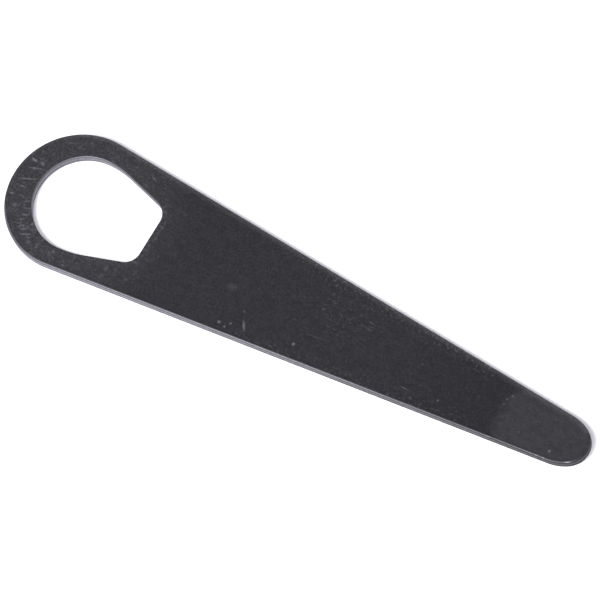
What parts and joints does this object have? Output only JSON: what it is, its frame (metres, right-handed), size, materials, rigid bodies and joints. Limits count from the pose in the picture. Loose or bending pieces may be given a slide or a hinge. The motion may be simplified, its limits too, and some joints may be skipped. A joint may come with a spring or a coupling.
{
  "type": "bottle opener",
  "caption": "Flat bar-blade bottle opener: one steel plate with a round head, a pierced eye with a straight lip that lifts a crown cap, and a tapering handle with a small rounded nose.",
  "frame": {"origin": "middle of the underside: halfway along the opener's length, on its centre line, on the plane it lies on", "axes": "+X along the opener from the round head to the nose, +Y across it in the plane of the plate, +Z out of the show face, away from what it lies on"},
  "size_m": [0.1778, 0.0392, 0.0025],
  "materials": {
    "blackened_steel": "satin"
  },
  "bodies": {
    "root": {"opener_plate": "blackened_steel"}
  },
  "joints": []
}
